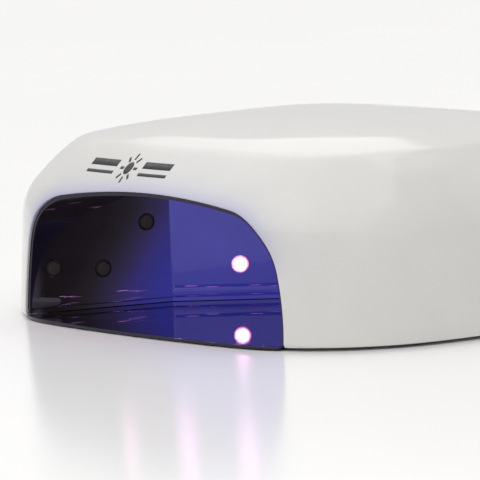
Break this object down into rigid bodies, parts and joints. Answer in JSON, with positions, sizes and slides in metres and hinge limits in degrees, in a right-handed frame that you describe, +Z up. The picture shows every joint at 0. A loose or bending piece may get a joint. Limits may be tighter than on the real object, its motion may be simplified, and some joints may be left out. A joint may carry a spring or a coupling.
{
  "type": "nail gel curing lamp",
  "caption": "Low rounded desk lamp with an arched front mouth, a mirrored cavity lined with violet light sources, a sliding mirror floor, top timer buttons and a rear power inlet.",
  "frame": {"origin": "middle of the footprint, on the surface that the feet stand on", "axes": "+Z up, +Y from the mouth towards the rear, +X to the right seen from the mouth"},
  "size_m": [0.27, 0.24, 0.0895],
  "materials": {
    "pearl_shell": "polished pearl white ABS",
    "mirror_liner": "metallised mirror",
    "mirror_tray": "mirror-polished steel",
    "lens_clear": "clear moulded lens, lit violet",
    "emitter_yellow": "light-emitting diode package",
    "lamp_board_metal": "aluminium-cored board, white mask",
    "heat_sink_metal": "extruded, plain",
    "frame_plastic": "fine texture",
    "pad_rubber": "soft matt",
    "magnet_plating": "nickel plated",
    "screw_steel": "zinc plated",
    "board_green": "solder mask",
    "component_black": "moulded",
    "capacitor_sleeve": "shrink sleeve",
    "connector_white": "nylon",
    "button_plastic": "polished",
    "plunger_black": "moulded",
    "light_pipe_clear": "clear",
    "switch_black": "fine satin",
    "contact_brass": "bright",
    "wire_red": "insulation"
  },
  "bodies": {
    "lamp": {"base_frame": "frame_plastic", "board_connectors": "connector_white", "control_board": "board_green", "control_board_screws": "screw_steel", "control_components": "component_black", "housing_screws": "screw_steel", "inlet_barrel": "switch_black", "inlet_centre_pin": "contact_brass", "inlet_leads": "wire_red", "inlet_nut": "screw_steel", "left_corner_emitters": "emitter_yellow", "left_corner_lamp_board": "lamp_board_metal", "left_corner_lenses": "lens_clear", "left_side_emitters": "emitter_yellow", "left_side_lamp_board": "lamp_board_metal", "left_side_lenses": "lens_clear", "liner_screws": "screw_steel", "power_board": "board_green", "power_board_screws": "screw_steel", "power_capacitors": "capacitor_sleeve", "power_inductors": "component_black", "power_switch_case": "switch_black", "rear_emitters": "emitter_yellow", "rear_lamp_board": "lamp_board_metal", "rear_lenses": "lens_clear", "reflector_liner": "mirror_liner", "right_corner_emitters": "emitter_yellow", "right_corner_lamp_board": "lamp_board_metal", "right_corner_lenses": "lens_clear", "right_side_emitters": "emitter_yellow", "right_side_lamp_board": "lamp_board_metal", "right_side_lenses": "lens_clear", "rocker_pivot": "screw_steel", "roof_emitters": "emitter_yellow", "roof_heat_sink": "heat_sink_metal", "roof_lamp_board": "lamp_board_metal", "roof_lenses": "lens_clear", "rubber_feet": "pad_rubber", "switch_blades": "contact_brass", "timer_light_pipes": "light_pipe_clear", "timer_switches": "component_black", "tray_magnets": "magnet_plating", "upper_housing": "pearl_shell"},
    "tray": {"base_tray": "mirror_tray", "tray_pads": "pad_rubber"},
    "rocker": {"power_rocker": "switch_black"},
    "timer_1": {"timer_button_1": "button_plastic", "switch_plunger_1": "plunger_black"},
    "timer_2": {"timer_button_2": "button_plastic", "switch_plunger_2": "plunger_black"},
    "timer_3": {"timer_button_3": "button_plastic", "switch_plunger_3": "plunger_black"}
  },
  "joints": [
    {"name": "tray_slide", "type": "slide", "parent": "lamp", "child": "tray", "axis": [0, -1, 0], "range_m": [0, 0.12]},
    {"name": "power_rocker_tilt", "type": "hinge", "parent": "lamp", "child": "rocker", "pos_m": [-0.02, 0.112, 0.022], "axis": [0, 0, 1], "range_deg": [0, 16]},
    {"name": "timer_1_press", "type": "slide", "parent": "lamp", "child": "timer_1", "axis": [0, 0, -1], "range_m": [0, 0.0008], "stiffness_N_per_m": 600, "springref_m": -0.0005},
    {"name": "timer_2_press", "type": "slide", "parent": "lamp", "child": "timer_2", "axis": [0, 0, -1], "range_m": [0, 0.0008], "stiffness_N_per_m": 600, "springref_m": -0.0005},
    {"name": "timer_3_press", "type": "slide", "parent": "lamp", "child": "timer_3", "axis": [0, 0, -1], "range_m": [0, 0.0008], "stiffness_N_per_m": 600, "springref_m": -0.0005}
  ]
}
